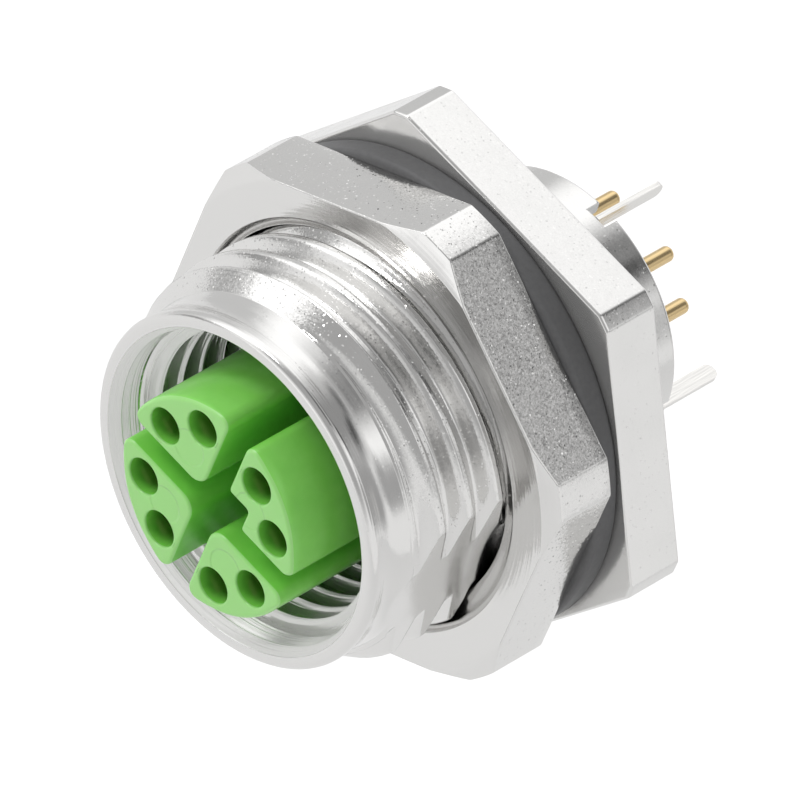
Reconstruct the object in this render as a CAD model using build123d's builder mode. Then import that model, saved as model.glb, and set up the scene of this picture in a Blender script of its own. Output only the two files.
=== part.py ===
from build123d import *
import os
from math import cos, hypot, radians, tan

# An eight-pole X-coded M12 socket for a panel, with straight pins for a circuit board.
# Millimetres. The axis of the connector is Y: the mouth looks towards -Y and the pins leave towards +Y.
# The origin is the centre of the flange's front face, the face that clamps on the panel.
# Angles about the axis are as seen from the mouth, with X to the right and Z up.

# Mating thread of the housing, M12 x 1, and the wall round it: each diameter of the nose follows from these
mating_thread = 12.0
mating_thread_depth = 0.54
entry_clearance = 0.05
entry_depth = 1.3
mouth_flare = 0.25
countersink_depth = 0.4

# Nose of the housing, in front of the flange, and the thread for the panel nut (9 mm conduit thread), which
# has a milled flat on one side, so that the connector can't turn in its hole in the panel
nose_reach = 9.6
lip_width = 0.6
lip_bevel = 0.25
neck_undercut = 0.25
neck_length = 1.5
nose_wall = 0.8
panel_thread_depth = 0.75
panel_thread_flat = 0.85

# Hexagonal flange of the housing, with its corners turned off
flange_flats = 19.0
flange_corner_cut = 0.18
flange_thickness = 2.35
flange_edge = 0.15

# Rear sleeve of the housing, and the web that stops the contact carrier
web_thickness = 0.9
web_step = 0.55
sleeve_wall = 0.55
sleeve_length = 4.6
sleeve_bevel = 0.15
tab_notch_width = 0.9
tab_notch_depth = 0.6

# Panel nut and flange seal
nut_wall = 1.4
nut_corner_cut = 0.39
nut_face_rim = 0.35
nut_thickness = 2.8
nut_chamfer_angle = 30.0
nut_rotation = 30.0
nut_countersink = 0.25
nut_clearance = 0.08
seal_width = 1.6
seal_thickness = 1.0
seal_clearance = 0.15

# Contacts: a split socket in front, a square shank that can't turn in the insulator, and a round pin behind
contact_diameter = 1.5
contact_clearance = 0.03
contact_stop = 0.04
contact_recess = 1.2
socket_bore = 0.84
socket_bore_depth = 5.2
socket_split_width = 0.18
socket_split_depth = 3.6
shank_step = 0.15
shank_reach = 1.2
shank_clearance = 0.03
pin_diameter = 0.6
pin_point = 0.1
tail_length = 2.75

# Contact carrier, the moulded insert with four lobes and a pair of contacts in each
pair_distance = 3.04
pair_pitch = 2.0
lobe_wall = 0.27
lobe_corner_round = 0.45
lobe_tip_round = 0.35
lobe_face_bevel = 0.12
slot_width = 1.0
key_reach = 1.55
carrier_reach = 1.3
carrier_neck_length = 1.5
carrier_base_length = 3.5
carrier_clearance = 0.05

# O-ring round the base of the carrier, its section drawn with flat sides where it is squeezed
ring_section = 0.66
ring_sides = 6
ring_groove_width = 0.9
ring_clearance = 0.01

# Rear insulator, and the empty space between it and the sleeve's rear rim
insulator_thickness = 2.2
rear_recess = 1.75

# Shield: two sheet plates, halved into each other
shield_sheet = 0.2
shield_clearance = 0.02
blade_margin = 0.32
blade_reach = 1.2
shoulder_length = 0.9
tab_width = 0.66
tab_offset = 0.15
tab_round = 0.3

# Stations along the axis, the inside ones counted from the rear rim
mouth_y = -nose_reach
neck_y = mouth_y + lip_bevel + neck_length / 2
cone_y = mouth_y + lip_bevel + neck_length
thread_y = cone_y + panel_thread_depth
sleeve_end_y = flange_thickness + sleeve_length
notch_floor_y = sleeve_end_y - tab_notch_depth
tail_y = sleeve_end_y + tail_length
insulator_rear_y = sleeve_end_y - rear_recess
carrier_rear_y = insulator_rear_y - insulator_thickness
shank_end_y = insulator_rear_y + shank_reach
web_rear_y = carrier_rear_y - carrier_base_length
web_front_y = web_rear_y - web_thickness
slot_floor_y = web_front_y - carrier_neck_length
carrier_face_y = mouth_y - carrier_reach
cavity_y = carrier_face_y + contact_recess
socket_y = cavity_y + contact_clearance
nut_rear_y = -seal_thickness
nut_front_y = nut_rear_y - nut_thickness

# Radii of the nose, from the mating thread outwards
minor_radius = mating_thread / 2 - mating_thread_depth
entry_radius = mating_thread / 2 + entry_clearance
mouth_radius = entry_radius + mouth_flare
lip_radius = mouth_radius + lip_width
neck_radius = lip_radius - neck_undercut
nose_radius = entry_radius + nose_wall
thread_radius = nose_radius + panel_thread_depth
thread_flat_x = thread_radius - panel_thread_flat

# Sizes of the hexagons and of the seal
hexagon_half_side = radians(30)
flange_apothem = flange_flats / 2
flange_radius = flange_apothem / cos(hexagon_half_side) - flange_corner_cut
nut_bore = thread_radius + nut_clearance
nut_apothem = thread_radius + nut_wall
nut_radius = nut_apothem / cos(hexagon_half_side) - nut_corner_cut
nut_face_radius = nut_apothem + nut_face_rim
seal_bore = thread_radius + seal_clearance
seal_radius = seal_bore + seal_width

# Radii inside the housing, from the contacts outwards
contact_hole_radius = contact_diameter / 2 - contact_stop
cavity_radius = contact_diameter / 2 + contact_clearance
shank_width = pin_diameter + 2 * shank_step
lobe_radius = hypot(pair_distance, pair_pitch / 2) + cavity_radius + lobe_wall
web_radius = lobe_radius + carrier_clearance
bore_radius = web_radius + web_step
base_radius = bore_radius - carrier_clearance
sleeve_radius = bore_radius + sleeve_wall
groove_radius = bore_radius - ring_section - 2 * ring_clearance
blade_radius = groove_radius - blade_margin
slit_width = shield_sheet + 2 * shield_clearance
slit_length = 2 * (blade_radius + shield_clearance)
tab_radius = bore_radius + tab_offset
cutter = 2 * (flange_radius + nut_radius)


def across(y):
    """The plane across the axis at y, drawn as seen from the mouth: its own x is X and its own y is Z."""
    return Plane.XZ.offset(-y)


def contact_places():
    """The eight contacts on a plane across the axis: a pair in the middle of each of the four lobes."""
    for middle in (45, 135, 225, 315):
        for side in (-1, 1):
            yield Vector(pair_distance, side * pair_pitch / 2).rotate(Axis.Z, middle)


places = [(place.X, place.Y) for place in contact_places()]

os.makedirs("parts", exist_ok=True)

# Housing: one turned piece, with its flange milled to a hexagon, the flat on its thread and four notches in
# the rear rim
with BuildPart() as housing:
    with BuildSketch(Plane.XY):
        with BuildLine():
            Polyline(
                (mouth_radius, mouth_y),
                (lip_radius - lip_bevel, mouth_y),
                (lip_radius, mouth_y + lip_bevel),
                (neck_radius, neck_y),
                (nose_radius, cone_y),
                (thread_radius, thread_y),
                (thread_radius, 0),
                (flange_radius - flange_edge, 0),
                (flange_radius, flange_edge),
                (flange_radius, flange_thickness),
                (sleeve_radius, flange_thickness),
                (sleeve_radius, sleeve_end_y - sleeve_bevel),
                (sleeve_radius - sleeve_bevel, sleeve_end_y),
                (bore_radius, sleeve_end_y),
                (bore_radius, web_rear_y),
                (web_radius, web_rear_y),
                (web_radius, web_front_y),
                (minor_radius, web_front_y),
                (minor_radius, mouth_y + entry_depth),
                (entry_radius, mouth_y + entry_depth),
                (entry_radius, mouth_y + countersink_depth),
                (mouth_radius, mouth_y),
            )
        make_face()
    revolve(axis=Axis.Y)
    with BuildSketch(across(0)):
        Circle(cutter)
        RegularPolygon(flange_apothem, 6, major_radius=False, mode=Mode.SUBTRACT)
    extrude(amount=-flange_thickness, mode=Mode.SUBTRACT)
    with BuildSketch(across(neck_y)):
        with Locations((thread_flat_x, 0)):
            Rectangle(cutter, cutter, align=(Align.MIN, Align.CENTER))
    extrude(amount=neck_y, mode=Mode.SUBTRACT)
    with BuildSketch(across(notch_floor_y)):
        Rectangle(cutter, tab_notch_width)
        Rectangle(tab_notch_width, cutter)
    extrude(amount=-tab_notch_depth, mode=Mode.SUBTRACT)
housing.part.label = "housing"
export_step(housing.part, "parts/housing.step")

# Panel nut: a turned ring, milled to a hexagon, with its corners bevelled on the front
with BuildPart() as panel_nut:
    bevel_y = nut_front_y + (nut_radius - nut_face_radius) * tan(radians(nut_chamfer_angle))
    with BuildSketch(Plane.XY):
        with BuildLine():
            Polyline(
                (nut_face_radius, nut_front_y),
                (nut_radius, bevel_y),
                (nut_radius, nut_rear_y),
                (nut_bore, nut_rear_y),
                (nut_bore, nut_front_y + nut_countersink),
                (nut_bore + nut_countersink, nut_front_y),
                close=True,
            )
        make_face()
    revolve(axis=Axis.Y)
    with BuildSketch(across(nut_front_y)):
        Circle(cutter)
        RegularPolygon(nut_apothem, 6, major_radius=False, rotation=nut_rotation, mode=Mode.SUBTRACT)
    extrude(amount=-nut_thickness, mode=Mode.SUBTRACT)
panel_nut.part.label = "panel_nut"
export_step(panel_nut.part, "parts/panel_nut.step")

# Flat rubber seal between the flange and the panel
with BuildPart() as flange_seal:
    with BuildSketch(across(0)):
        Circle(seal_radius)
        Circle(seal_bore, mode=Mode.SUBTRACT)
    extrude(amount=seal_thickness)
flange_seal.part.label = "flange_seal"
export_step(flange_seal.part, "parts/flange_seal.step")

# Contact carrier: four lobes round a crossed slot, on a round base that drops in from behind
with BuildPart() as contact_carrier:
    with BuildSketch(across(carrier_face_y)) as lobes:
        Circle(lobe_radius)
        Rectangle(cutter, slot_width, mode=Mode.SUBTRACT)
        Rectangle(slot_width, cutter, mode=Mode.SUBTRACT)
        fillet(lobes.vertices().sort_by_distance((0, 0))[4:], lobe_corner_round)
        fillet(lobes.vertices().sort_by_distance((0, 0))[:4], lobe_tip_round)
        Rectangle(key_reach, key_reach, align=(Align.MIN, Align.MIN), mode=Mode.SUBTRACT)
    extrude(amount=carrier_face_y - slot_floor_y)
    chamfer(contact_carrier.edges().group_by(Axis.Y)[0], lobe_face_bevel)
    with BuildSketch(Plane.XY):
        with BuildLine():
            groove_y = (web_rear_y + carrier_rear_y - ring_groove_width) / 2
            Polyline(
                (0, slot_floor_y),
                (lobe_radius, slot_floor_y),
                (lobe_radius, web_rear_y),
                (base_radius, web_rear_y),
                (base_radius, groove_y),
                (groove_radius, groove_y),
                (groove_radius, groove_y + ring_groove_width),
                (base_radius, groove_y + ring_groove_width),
                (base_radius, carrier_rear_y),
                (0, carrier_rear_y),
                close=True,
            )
        make_face()
    revolve(axis=Axis.Y)
    with BuildSketch(across(carrier_face_y)):
        with Locations(*places):
            Circle(contact_hole_radius)
    extrude(amount=-contact_recess, mode=Mode.SUBTRACT)
    with BuildSketch(across(cavity_y)):
        with Locations(*places):
            Circle(cavity_radius)
    extrude(amount=cavity_y - carrier_rear_y, mode=Mode.SUBTRACT)
    with BuildSketch(across(slot_floor_y)):
        Rectangle(slit_length, slit_width)
        Rectangle(slit_width, slit_length)
    extrude(amount=slot_floor_y - carrier_rear_y, mode=Mode.SUBTRACT)
contact_carrier.part.label = "contact_carrier"
export_step(contact_carrier.part, "parts/contact_carrier.step")

# O-ring in the groove of the carrier, against the rear bore
with BuildPart() as carrier_ring:
    with BuildSketch(Plane.XY):
        with Locations((bore_radius - ring_clearance - ring_section / 2, groove_y + ring_groove_width / 2)):
            RegularPolygon(ring_section / 2, ring_sides, major_radius=False, rotation=180 / ring_sides)
    revolve(axis=Axis.Y)
carrier_ring.part.label = "carrier_ring"
export_step(carrier_ring.part, "parts/carrier_ring.step")

# Rear insulator: a disc that holds the contacts in the carrier
with BuildPart() as rear_insulator:
    with BuildSketch(across(carrier_rear_y)):
        shank_hole = shank_width + 2 * shank_clearance
        Circle(base_radius)
        with Locations(*places):
            Rectangle(shank_hole, shank_hole, mode=Mode.SUBTRACT)
        Rectangle(slit_length, slit_width, mode=Mode.SUBTRACT)
        Rectangle(slit_width, slit_length, mode=Mode.SUBTRACT)
    extrude(amount=-insulator_thickness)
rear_insulator.part.label = "rear_insulator"
export_step(rear_insulator.part, "parts/rear_insulator.step")


# Shield plates: two flat plates that cross on the axis, each slotted where the other one passes
blade_front_y = slot_floor_y - blade_reach
shoulder_y = insulator_rear_y + shield_clearance
foot_y = notch_floor_y + shield_clearance
web_end_y = shoulder_y + shoulder_length
halving_y = (blade_front_y + web_end_y) / 2
upright = Plane(origin=(0, 0, 0), x_dir=(0, 0, 1), z_dir=(-1, 0, 0))


def shield_plate(label, plane, halving_low, halving_high):
    """A blade in front, shoulders behind the insulator, and a tab on each side that leaves through its notch."""
    with BuildPart() as plate:
        with BuildSketch(plane) as outline:
            with BuildLine():
                Polyline(
                    (0, blade_front_y),
                    (blade_radius, blade_front_y),
                    (blade_radius, shoulder_y),
                    (base_radius, shoulder_y),
                    (base_radius, foot_y),
                    (tab_radius + tab_width / 2, foot_y),
                    (tab_radius + tab_width / 2, tail_y),
                    (tab_radius - tab_width / 2, tail_y),
                    (tab_radius - tab_width / 2, web_end_y),
                    (0, web_end_y),
                )
                mirror(about=Plane.YZ)
            make_face()
            fillet(outline.vertices().group_by(Axis.Y)[-1], tab_round)
            with Locations((0, (halving_low + halving_high) / 2)):
                Rectangle(slit_width, halving_high - halving_low, mode=Mode.SUBTRACT)
        extrude(amount=shield_sheet / 2, both=True)
    plate.part.label = label
    export_step(plate.part, f"parts/{label}.step")


shield_plate("shield_plate_level", Plane.XY, blade_front_y, halving_y)
shield_plate("shield_plate_upright", upright, halving_y, web_end_y)

# Contacts, numbered round the axis: each is one turned piece, with its socket split in two
for number, (x, z) in enumerate(places, start=1):
    own_axis = Axis((x, 0, z), (0, 1, 0))
    with BuildPart() as contact:
        with BuildSketch(Plane(origin=(x, 0, z))):
            with BuildLine():
                Polyline(
                    (0, socket_y + socket_bore_depth),
                    (socket_bore / 2, socket_y + socket_bore_depth),
                    (socket_bore / 2, socket_y),
                    (contact_diameter / 2, socket_y),
                    (contact_diameter / 2, carrier_rear_y),
                    (pin_diameter / 2, carrier_rear_y),
                    (pin_diameter / 2, tail_y - pin_point),
                    (pin_diameter / 2 - pin_point, tail_y),
                    (0, tail_y),
                    close=True,
                )
            make_face()
        revolve(axis=own_axis)
        with BuildSketch(across(carrier_rear_y)):
            with Locations((x, z)):
                Rectangle(shank_width, shank_width)
        extrude(amount=carrier_rear_y - shank_end_y)
        with BuildSketch(across(socket_y)):
            with Locations((x, z)):
                Rectangle(socket_split_width, contact_diameter * 2)
        extrude(amount=-socket_split_depth, mode=Mode.SUBTRACT)
    contact.part.label = f"contact_{number}"
    export_step(contact.part, f"parts/contact_{number}.step")
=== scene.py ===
# %% [markdown]
# # A circular panel connector in Blender
# The part is a turned metal socket that is clamped in the wall of a cabinet. It has a nose with an
# outside thread, a lock nut, a rubber seal, a hexagonal flange, a green insert with eight contacts
# and a short sleeve with pins behind. The solids already exist at their real size and place, so this
# script only dresses them: it adds the finish, and it replaces the plain turned pieces by surfaces
# that have their threads, small roundings and tool marks.

import bmesh
import bpy
import numpy as np
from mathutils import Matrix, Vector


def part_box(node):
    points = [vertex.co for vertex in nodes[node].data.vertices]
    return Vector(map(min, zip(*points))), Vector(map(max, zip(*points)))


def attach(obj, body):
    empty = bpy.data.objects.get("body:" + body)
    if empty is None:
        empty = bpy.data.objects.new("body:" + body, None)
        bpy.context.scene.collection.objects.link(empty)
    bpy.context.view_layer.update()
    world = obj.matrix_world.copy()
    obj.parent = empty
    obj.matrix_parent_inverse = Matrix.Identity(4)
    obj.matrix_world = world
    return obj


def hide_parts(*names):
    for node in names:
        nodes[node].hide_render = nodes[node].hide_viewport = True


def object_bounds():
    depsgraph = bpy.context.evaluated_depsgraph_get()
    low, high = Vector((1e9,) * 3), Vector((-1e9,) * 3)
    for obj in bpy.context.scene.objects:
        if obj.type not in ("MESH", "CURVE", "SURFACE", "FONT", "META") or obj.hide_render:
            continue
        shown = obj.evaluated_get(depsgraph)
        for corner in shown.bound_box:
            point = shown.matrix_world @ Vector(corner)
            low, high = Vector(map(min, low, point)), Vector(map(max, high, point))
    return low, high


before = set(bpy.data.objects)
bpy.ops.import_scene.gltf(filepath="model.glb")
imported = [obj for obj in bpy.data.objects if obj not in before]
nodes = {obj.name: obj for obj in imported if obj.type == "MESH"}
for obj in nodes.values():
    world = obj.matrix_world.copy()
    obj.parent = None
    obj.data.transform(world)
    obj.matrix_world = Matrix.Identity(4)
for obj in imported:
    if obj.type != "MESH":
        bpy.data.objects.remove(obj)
solid_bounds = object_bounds()
MM = 0.001
housing_low, housing_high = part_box("housing")
nut_low, nut_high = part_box("panel_nut")
seal_low, seal_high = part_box("flange_seal")
mouth_y = housing_low.y
sleeve_end_y = housing_high.y
flange_apothem = housing_high.z
flange_corner = housing_high.x
nut_front_y, nut_rear_y = nut_low.y, nut_high.y
nut_apothem, nut_corner = nut_high.x, nut_high.z
seal_radius, seal_front_y = seal_high.x, seal_low.y
print("mouth", mouth_y, "sleeve end", sleeve_end_y, "flange", flange_apothem, flange_corner)

# %% [markdown]
# ## The camera
# The photograph was taken with a long lens, a little from the right of the mouth and from above, and
# the part itself is turned about its own axis. The camera is therefore set from three angles: its
# azimuth and elevation about the part, and the turn of the part. A long lens far away keeps the
# lines of the hexagons nearly parallel, as they are in the photograph.

# %% Camera at the photograph's angle
camera_azimuth = np.radians(44.916)
camera_elevation = np.radians(34.379)
part_turn = np.radians(22.5)
camera_distance = 568.42 * MM
aim_right, aim_up = 5.794 * MM, 3.237 * MM
lens_mm, sensor_mm = 734.36, 36.0


def turned(vector):
    """The vector turned by part_turn about Y: x' = x cos t - z sin t, z' = x sin t + z cos t."""
    x, y, z = vector
    c, s = np.cos(part_turn), np.sin(part_turn)
    return np.array([x * c - z * s, y, x * s + z * c])


def standing(right, up, back, place):
    """A world matrix whose columns are an object's own right, up and back, and then its place."""
    matrix = np.eye(4)
    matrix[:3, 0], matrix[:3, 1], matrix[:3, 2], matrix[:3, 3] = right, up, back, place
    return matrix.T.tolist()


view_back = turned([np.sin(camera_azimuth) * np.cos(camera_elevation),
                    -np.cos(camera_azimuth) * np.cos(camera_elevation),
                    np.sin(camera_elevation)])
view_right = turned([np.cos(camera_azimuth), np.sin(camera_azimuth), 0.0])
view_up = np.cross(view_back, view_right)
mouth_centre = np.array([0.0, mouth_y, 0.0])
camera_place = mouth_centre + aim_right * view_right + aim_up * view_up + camera_distance * view_back

camera_data = bpy.data.cameras.new("camera")
camera_data.sensor_width = sensor_mm
camera_data.lens = lens_mm
camera_data.clip_end = 10.0
camera = bpy.data.objects.new("camera", camera_data)
camera.matrix_world = standing(view_right, view_up, view_back, camera_place)
bpy.context.scene.collection.objects.link(camera)
bpy.context.scene.camera = camera
bpy.context.scene.view_settings.view_transform = "Standard"
print("camera at", camera_place.round(4))

# %% [markdown]
# ## A helper for node materials
# Every finish below is a small network of shader nodes. Writing the links one by one hides what the
# network does, so a short helper adds a node, sets its values and plugs in what feeds it.


# %% Shader helpers
def new_material(name):
    """An empty node material and its output node."""
    material = bpy.data.materials.new(name)
    material.use_nodes = True
    material.node_tree.nodes.clear()
    output = material.node_tree.nodes.new("ShaderNodeOutputMaterial")
    return material, output


def add_node(tree, kind, feeds=None, **settings):
    """Adds a node. feeds maps an input's name or number to a value or to an output socket."""
    node = tree.nodes.new(kind)
    for key, value in settings.items():
        setattr(node, key, value)
    for key, value in (feeds or {}).items():
        if isinstance(value, bpy.types.NodeSocket):
            tree.links.new(value, node.inputs[key])
        else:
            node.inputs[key].default_value = value
    return node


def math_node(tree, operation, *values):
    """Adds a Math node, and gives its output socket."""
    node = add_node(tree, "ShaderNodeMath", dict(enumerate(values)), operation=operation)
    return node.outputs[0]


def length_node(tree, a, b):
    """The square root of a * a + b * b."""
    squares = [math_node(tree, "MULTIPLY", side, side) for side in (a, b)]
    return math_node(tree, "SQRT", math_node(tree, "ADD", *squares))


def noise_node(tree, place, scale, detail, roughness=0.5):
    """A noise value between 0 and 1, mostly near 0.5, with the given number of cells a metre."""
    feeds = {"Vector": place, "Scale": scale, "Detail": detail, "Roughness": roughness}
    return add_node(tree, "ShaderNodeTexNoise", feeds).outputs[0]


def bump_node(tree, height, depth, strength, below=None):
    """The slope of a height from 0 to 1 that stands for the depth, laid over the slope below it."""
    feeds = {"Height": height, "Distance": depth, "Strength": strength}
    if below is not None:
        feeds["Normal"] = below
    return add_node(tree, "ShaderNodeBump", feeds).outputs[0]


def object_place(tree):
    """The place on the piece in metres, which doesn't slide when the piece or the camera moves."""
    return add_node(tree, "ShaderNodeTexCoord").outputs["Object"]


# %% [markdown]
# ## The studio
# The part seems to have been photographed in a light tent, on white. Metal shows what is round it, so
# the walls of the tent matter more than the lamps. Each flat of the part mirrors one direction, which
# tells how bright the tent is there: a long bright box runs from the left over the top, the camera's
# side is dimmer, and a dark gap between two panels runs down on the right. Directions are written as
# the camera sees them, as shares of right, up and back towards the camera. Each panel adds to the
# tent's light, or takes from it, within its two angles. The camera itself sees plain white.


# %% World
def as_seen(right, up, back):
    """A unit vector from its shares along the camera's right, up and back."""
    way = right * view_right + up * view_up + back * view_back
    return way / np.linalg.norm(way)


def panel_light(tree, name, direction, middle, edge_angle, full_angle, strength, before):
    """Adds strength where a ray points within full_angle of the middle, fading out at edge_angle."""
    along = add_node(tree, "ShaderNodeVectorMath", {0: direction, 1: tuple(middle)},
                     operation="DOT_PRODUCT", label=name)
    share = add_node(tree, "ShaderNodeMapRange",
                     {0: along.outputs["Value"], 1: np.cos(np.radians(edge_angle)),
                      2: np.cos(np.radians(full_angle))}, interpolation_type="SMOOTHSTEP")
    return math_node(tree, "MULTIPLY_ADD", share.outputs[0], strength, before)


plain_white = (1.0, 1.0, 1.0, 1.0)
tent_light = 1.0
tent_panels = (
    ("camera_side", (-0.18, 0.12, 0.97), 64, 36, -0.52),
    ("right_window", (0.61, 0.09, 0.79), 23, 8, 0.42),
    ("left_box", (-0.81, 0.47, 0.34), 20, 8, 0.75),
    ("top_box", (-0.38, 0.88, 0.28), 31, 12, 0.42),
    ("ceiling", (0.31, 0.95, -0.07), 31, 14, 0.42),
    ("gap_front", (0.49, 0.59, 0.64), 28, 10, -0.38),
    ("gap_side", (0.76, 0.64, 0.08), 29, 14, -0.64),
    ("gap_low", (0.99, 0.03, -0.14), 22, 8, -0.58),
    ("gap_right", (0.86, -0.18, 0.47), 21, 9, -0.55),
    ("gap_middle", (0.90, 0.36, 0.24), 16, 6, -0.30),
    ("front_left", (-0.82, -0.22, 0.53), 30, 12, 0.30),
    ("back_top", (-0.38, 0.81, -0.44), 38, 18, -0.28),
    ("left_gap", (-0.96, 0.24, -0.14), 22, 8, -0.60),
    ("back_left", (-0.64, -0.07, -0.77), 40, 20, 0.25),
    ("back_low", (0.20, -0.74, -0.64), 48, 20, -0.25),
)
world = bpy.data.worlds.new("studio")
world.use_nodes = True
tree = world.node_tree
tree.nodes.clear()
ray_direction = add_node(tree, "ShaderNodeTexCoord").outputs["Generated"]
light = tent_light
for name, middle, edge_angle, full_angle, strength in tent_panels:
    light = panel_light(tree, name, ray_direction, as_seen(*middle),
                        edge_angle, full_angle, strength, light)
tent = add_node(tree, "ShaderNodeBackground", {"Color": plain_white, "Strength": light})
white = add_node(tree, "ShaderNodeBackground", {"Color": plain_white, "Strength": 1.0})
light_path = add_node(tree, "ShaderNodeLightPath")
mix = add_node(tree, "ShaderNodeMixShader",
               {0: light_path.outputs["Is Camera Ray"], 1: tent.outputs[0], 2: white.outputs[0]})
add_node(tree, "ShaderNodeOutputWorld", {0: mix.outputs[0]})
bpy.context.scene.world = world
print("the tent has", len(tent_panels), "panels")

# %% Key light and floor
# One square area lamp faces the part. Its power is pi times its area times its radiance.
key_aim, key_distance = as_seen(-0.5, 0.75, 0.6), 0.35
key_size, key_radiance = 0.10, 9.5
key_side = np.cross(view_up, key_aim)
key_side /= np.linalg.norm(key_side)
key_lamp = bpy.data.lights.new("key_box", "AREA")
key_lamp.size = key_size
key_lamp.energy = np.pi * key_size ** 2 * key_radiance
key_box = bpy.data.objects.new("key_box", key_lamp)
key_box.matrix_world = standing(key_side, np.cross(key_aim, key_side), key_aim, key_aim * key_distance)
bpy.context.scene.collection.objects.link(key_box)

# The floor is pale and matt. It glows a little where the camera sees it, so that it is as white as the
# tent, and less where the metal mirrors it. No diffuse ray sees the glow, so it adds no soft light.
floor_drop = 60 * MM
floor_half = 0.3
floor_colour = 0.93
seen_glow, mirrored_glow = 0.3, 0.1
floor_z = solid_bounds[0][2] - floor_drop
floor_mesh = bpy.data.meshes.new("floor")
floor_mesh.from_pydata([(-floor_half, -floor_half, floor_z), (floor_half, -floor_half, floor_z),
                        (floor_half, floor_half, floor_z), (-floor_half, floor_half, floor_z)],
                       [], [(0, 1, 2, 3)])
floor = bpy.data.objects.new("floor", floor_mesh)
bpy.context.scene.collection.objects.link(floor)
material, output = new_material("pale_floor")
tree = material.node_tree
matt = add_node(tree, "ShaderNodeBsdfDiffuse", {"Color": (*[floor_colour] * 3, 1.0)})
light_path = add_node(tree, "ShaderNodeLightPath")
glow = math_node(tree, "MULTIPLY", light_path.outputs["Is Glossy Ray"], mirrored_glow)
glow = math_node(tree, "MULTIPLY_ADD", light_path.outputs["Is Camera Ray"], seen_glow, glow)
shine = add_node(tree, "ShaderNodeEmission", {"Color": plain_white, "Strength": glow})
both = add_node(tree, "ShaderNodeAddShader", {0: matt.outputs[0], 1: shine.outputs[0]})
tree.links.new(both.outputs[0], output.inputs[0])
floor_mesh.materials.append(material)
print("floor at", floor_z)

# %% [markdown]
# ## Surfaces from grids
# A turned or milled ring is a grid of points: rows follow its section, columns go round the axis.
# When the section is a closed line, the first and last rows join, and the grid closes like a torus,
# so the mesh has no open edge and no pole. Working on whole arrays keeps this quick and exact.


# %% Grid helpers
guard = 0.03 * MM


def round_the_axis(radius, station, angle):
    """Points at (radius cos angle, station, radius sin angle), for arrays of the same shape."""
    return np.stack([radius * np.cos(angle), station, radius * np.sin(angle)], axis=-1)


def signed_volume(points, quads):
    """Six times the volume that the faces enclose; it is positive when they point outwards."""
    a, b, c, d = (points[quads[:, k]] for k in range(4))
    return np.einsum("ij,ij->", a, np.cross(b, c)) + np.einsum("ij,ij->", a, np.cross(c, d))


def mesh_object(name, points, faces, material, marks=None):
    """A smooth object from points and faces, with one value a point for each named attribute."""
    mesh = bpy.data.meshes.new(name)
    mesh.from_pydata(points.tolist(), [], faces)
    mesh.shade_smooth()
    for key, values in (marks or {}).items():
        attribute = mesh.attributes.new(key, "FLOAT", "POINT")
        attribute.data.foreach_set("value", values.astype(np.float32))
    mesh.materials.append(material)
    piece = bpy.data.objects.new(name, mesh)
    bpy.context.scene.collection.objects.link(piece)
    print(name, "has", sum(len(face) - 2 for face in faces), "triangles")
    return piece


def grid_quads(points, closed=True):
    """A grid's points in one list, and its quads, facing outwards: quad (i, j) joins rows i and i + 1
    with columns j and j + 1. Columns are counted round, and so are the rows of a closed grid."""
    rows, columns = points.shape[:2]
    index = np.arange(rows * columns).reshape(rows, columns)
    below, right = np.roll(index, -1, axis=0), np.roll(index, -1, axis=1)
    quads = np.stack([index, below, np.roll(below, -1, axis=1), right], axis=-1)
    if not closed:
        quads = quads[:-1]
    flat, quads = points.reshape(-1, 3), quads.reshape(-1, 4)
    inside_out = signed_volume(flat - flat[0], quads) < 0
    return flat, quads[:, ::-1] if inside_out else quads


def grid_object(name, points, material, marks=None):
    """A closed grid as an object. marks gives each named attribute's values, spread over the grid."""
    flat, quads = grid_quads(points)
    shape = points.shape[:2]
    spread = {key: np.broadcast_to(values, shape).ravel() for key, values in (marks or {}).items()}
    return mesh_object(name, flat, quads.tolist(), material, spread)


def section(corners, arc_steps=4):
    """A section line through corners (radius, station, rounding). Each corner becomes an arc tangent to
    both lines, with one more point a guard's length outside it, which keeps the flats' shading flat."""
    places = np.array([corner[:2] for corner in corners], float)
    line = []
    for k, here in enumerate(places):
        rounding = corners[k][2]
        if rounding == 0:
            line.append(here)
            continue
        ways = [places[k - 1] - here, places[(k + 1) % len(corners)] - here]
        ways = [w / np.linalg.norm(w) for w in ways]
        half = np.arccos(np.clip(ways[0] @ ways[1], -1.0, 1.0)) / 2
        reach = rounding / np.tan(half)
        middle = ways[0] + ways[1]
        centre = here + middle / np.linalg.norm(middle) * rounding / np.sin(half)
        start, end = here + ways[0] * reach, here + ways[1] * reach
        first = np.arctan2(*(start - centre)[::-1])
        last = np.arctan2(*(end - centre)[::-1])
        sweep = (last - first + np.pi) % (2 * np.pi) - np.pi
        angles = first + sweep * np.linspace(0, 1, arc_steps + 1)
        line.append(start + ways[0] * guard)
        line.extend(centre + rounding * np.stack([np.cos(angles), np.sin(angles)], axis=-1))
        line.append(end + ways[1] * guard)
    return np.array(line)


def refined(line, longest, closed=True):
    """The line with points added so that no step is longer than the given length, which may be one
    value or one for each of the line's steps. An open line ends at its last point."""
    steps = np.linalg.norm(np.roll(line, -1, axis=0) - line, axis=1)
    counts = np.maximum(1, np.ceil(steps / longest - 1e-6)).astype(int)
    if not closed:
        counts[-1] = 1
    starts = np.repeat(np.arange(len(line)), counts)
    shares = np.concatenate([np.arange(n) / n for n in counts])[:, None]
    return line[starts] * (1 - shares) + np.roll(line, -1, axis=0)[starts] * shares


def smooth_least(a, b, blend):
    """The smaller of a and b, with the corner between them rounded over the blend's width."""
    share = np.clip(0.5 + 0.5 * (b - a) / blend, 0.0, 1.0)
    return b * (1 - share) + a * share - blend * share * (1 - share)


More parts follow.
